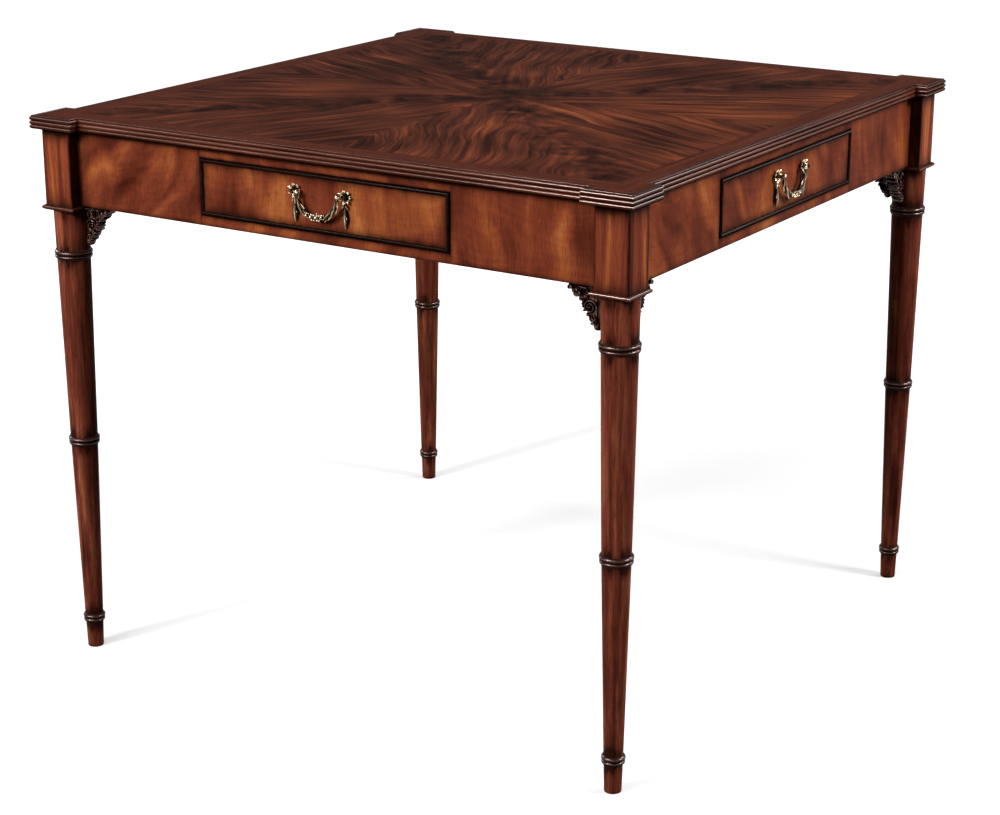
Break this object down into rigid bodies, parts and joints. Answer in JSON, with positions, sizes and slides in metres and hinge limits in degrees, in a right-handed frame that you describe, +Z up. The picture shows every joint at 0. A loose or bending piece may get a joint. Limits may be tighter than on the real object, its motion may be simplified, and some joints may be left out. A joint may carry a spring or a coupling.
{
  "type": "card table",
  "caption": "Square card table with a reeded, eared top, round tapering ringed legs, carved corner brackets and a drawer with a hanging bail handle in each side.",
  "frame": {"origin": "on the floor under the centre of the top", "axes": "+Z up, -Y out of the front side, +X out of the right side"},
  "size_m": [0.9144, 0.9144, 0.762],
  "materials": {
    "flame_mahogany": "figured veneer under polished lacquer",
    "mahogany": "polished lacquer",
    "dark_mahogany": "dark stained and polished",
    "carved_mahogany": "carved, dark stained and polished",
    "secondary_wood": "planed, thin sealer",
    "antique_brass": "cast, dark patina rubbed bright on the high spots",
    "zinc_steel": "zinc plated"
  },
  "bodies": {
    "table": {"top_core": "secondary_wood", "top_veneer": "flame_mahogany", "top_border": "mahogany", "edge_moulding_front": "dark_mahogany", "edge_moulding_right": "dark_mahogany", "edge_moulding_back": "dark_mahogany", "edge_moulding_left": "dark_mahogany", "leg_front_right": "mahogany", "leg_back_right": "mahogany", "leg_back_left": "mahogany", "leg_front_left": "mahogany", "leg_collars": "dark_mahogany", "brackets_front_right": "carved_mahogany", "brackets_back_right": "carved_mahogany", "brackets_back_left": "carved_mahogany", "brackets_front_left": "carved_mahogany", "apron_front_rails": "flame_mahogany", "apron_front_left_panel": "flame_mahogany", "apron_front_right_panel": "flame_mahogany", "apron_right_rails": "flame_mahogany", "apron_right_left_panel": "flame_mahogany", "apron_right_right_panel": "flame_mahogany", "apron_back_rails": "flame_mahogany", "apron_back_left_panel": "flame_mahogany", "apron_back_right_panel": "flame_mahogany", "apron_left_rails": "flame_mahogany", "apron_left_left_panel": "flame_mahogany", "apron_left_right_panel": "flame_mahogany", "guide_rails": "secondary_wood", "drawer_runners": "secondary_wood", "drawer_kickers": "secondary_wood", "corner_blocks": "secondary_wood", "hanger_bolts": "zinc_steel", "glue_blocks": "secondary_wood"},
    "drawer_front": {"drawer_front_front": "flame_mahogany", "drawer_front_cockbead": "dark_mahogany", "drawer_front_box": "secondary_wood", "drawer_front_bottom": "secondary_wood", "drawer_front_handle_posts": "antique_brass"},
    "bail_front": {"drawer_front_bail": "antique_brass"},
    "drawer_right": {"drawer_right_front": "flame_mahogany", "drawer_right_cockbead": "dark_mahogany", "drawer_right_box": "secondary_wood", "drawer_right_bottom": "secondary_wood", "drawer_right_handle_posts": "antique_brass"},
    "bail_right": {"drawer_right_bail": "antique_brass"},
    "drawer_back": {"drawer_back_front": "flame_mahogany", "drawer_back_cockbead": "dark_mahogany", "drawer_back_box": "secondary_wood", "drawer_back_bottom": "secondary_wood", "drawer_back_handle_posts": "antique_brass"},
    "bail_back": {"drawer_back_bail": "antique_brass"},
    "drawer_left": {"drawer_left_front": "flame_mahogany", "drawer_left_cockbead": "dark_mahogany", "drawer_left_box": "secondary_wood", "drawer_left_bottom": "secondary_wood", "drawer_left_handle_posts": "antique_brass"},
    "bail_left": {"drawer_left_bail": "antique_brass"}
  },
  "joints": [
    {"name": "drawer_front_slide", "type": "slide", "parent": "table", "child": "drawer_front", "axis": [0, -1, 0], "range_m": [0, 0.15]},
    {"name": "bail_front_hinge", "type": "hinge", "parent": "drawer_front", "child": "bail_front", "pos_m": [0, -0.4392, 0.706], "axis": [-1, 0, 0], "range_deg": [0, 80]},
    {"name": "drawer_right_slide", "type": "slide", "parent": "table", "child": "drawer_right", "axis": [1, 0, 0], "range_m": [0, 0.15]},
    {"name": "bail_right_hinge", "type": "hinge", "parent": "drawer_right", "child": "bail_right", "pos_m": [0.4392, 0, 0.706], "axis": [0, -1, 0], "range_deg": [0, 80]},
    {"name": "drawer_back_slide", "type": "slide", "parent": "table", "child": "drawer_back", "axis": [0, 1, 0], "range_m": [0, 0.15]},
    {"name": "bail_back_hinge", "type": "hinge", "parent": "drawer_back", "child": "bail_back", "pos_m": [0, 0.4392, 0.706], "axis": [1, 0, 0], "range_deg": [0, 80]},
    {"name": "drawer_left_slide", "type": "slide", "parent": "table", "child": "drawer_left", "axis": [-1, 0, 0], "range_m": [0, 0.15]},
    {"name": "bail_left_hinge", "type": "hinge", "parent": "drawer_left", "child": "bail_left", "pos_m": [-0.4392, 0, 0.706], "axis": [0, 1, 0], "range_deg": [0, 80]}
  ]
}
